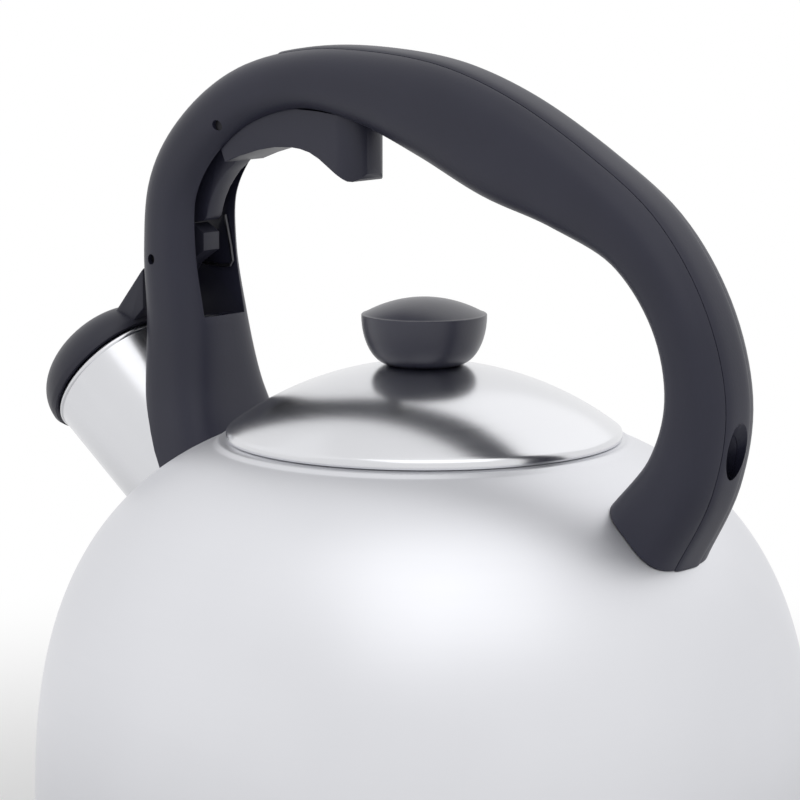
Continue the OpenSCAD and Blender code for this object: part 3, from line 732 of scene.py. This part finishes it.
def armRoom():
    # keeps the arm out of the cap's hollow, ending it halfway through the moulded wall
    inset = cap["shell"] / 2
    crown = (0, cap["lift"] + cap["depth"] - inset)
    outline = [(0, -30), (cap["radius"] - inset, -30)] + capCurve(inset, 0.5) + [crown]
    return standAtSpout(turned("armRoom", outline, 96))


def wrapOutline(circles):
    # the tight outline round a few circles (x, z, radius)
    turns = [math.tau * k / 40 for k in range(40)]
    dots = sorted({(round(x + r * math.cos(a), 5), round(z + r * math.sin(a), 5))
                   for x, z, r in circles for a in turns})

    def half(points):
        out = []
        for p in points:
            while len(out) > 1 and ((out[-1][0] - out[-2][0]) * (p[1] - out[-2][1])
                                    - (out[-1][1] - out[-2][1]) * (p[0] - out[-2][0])) <= 0:
                out.pop()
            out.append(p)
        return out[:-1]
    return half(dots) + half(dots[::-1])


def makeCap():
    c = cap
    x, z = pivots["cap"]
    across = (math.sin(math.radians(spout["tilt"])), math.cos(math.radians(spout["tilt"])))
    mx, mz = spout["mouth"]

    def nearMouth(out, along):
        return (mx + across[0] * out + spoutDir[0] * along, mz + across[1] * out + spoutDir[1] * along)
    shoulder, rimEnd = nearMouth(c["radius"] - 4.5, 6.2), nearMouth(c["radius"] - 1, 2.8)
    armOutline = wrapOutline([(x, z, c["hub"]), (*shoulder, 2.2), (*rimEnd, 1.6)])
    outer, inner = capCurve(0, c["outlet"]), capCurve(c["shell"], c["outlet"])
    outline = [(c["radius"] - 0.5, c["lift"])] + outer[1:] + inner[::-1]
    outline.append(outline[0])
    piece = standAtSpout(turned("whistleCap", outline, 128))
    arm = slab("capArm", armOutline, c["armWidth"])
    nearX, farX = c["armStart"], c["armStart"] - 100
    front = slab("armFront", [(nearX, 100), (nearX, 260), (farX, 260), (farX, 100)], 60)
    combine(arm, front, "INTERSECT")
    softenEdges(arm, c["edge"], 50)
    combine(arm, armRoom())
    combine(piece, arm, "UNION")
    toe, up = trigger["toe"], toeNormal
    top = (toe[0] - 0.4 * up[0], toe[1] - 0.4 * up[1])
    along = (up[1], -up[0])
    tail = [top, (top[0] - 7.2 * along[0], top[1] - 7.2 * along[1]), (x - c["hub"], z + 1), (x, z - c["hub"]),
            (x + 11.5, z + 2.5), (x + 11.5, z + 7.6)]
    neck = slab("capNeck", armOutline, trigger["linkWidth"])
    combine(neck, slab("capTail", tail, trigger["linkWidth"]), "UNION")
    softenEdges(neck, 0.4, 50)
    combine(neck, armRoom())
    combine(piece, neck, "UNION")
    combine(piece, rod("capBore", (x, -20, z), (x, 20, z), pivots["pinRadius"] + 0.05, 32))
    settle(piece, "capPlastic", "cap", ["cap_shell"], 34)


makeCap()
print("stage: whistle cap")

# pieces kept as they come
keptFinish = {"base_capsule": "kettleSteel", "base_spreader": "spreaderAluminium", "lid_skirt": "lidSteel",
              "knob_insert": "insertBrass", "knob_screw": "fixingSteel", "knob_washer": "fixingSteel",
              "front_boss": "fixingSteel", "rear_boss": "fixingSteel", "front_screw": "fixingSteel",
              "rear_screw": "fixingSteel", "front_washer": "fixingSteel", "rear_washer": "fixingSteel",
              "trigger_pin": "pinSteel", "cap_pin": "pinSteel", "cap_spring": "springSteel",
              "whistle_cup": "spoutSteel", "whistle_plate": "spoutSteel"}
for nodeName, finishName in keptFinish.items():
    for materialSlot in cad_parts[nodeName].material_slots:
        materialSlot.material = finishes[finishName]
print("stage: fittings")
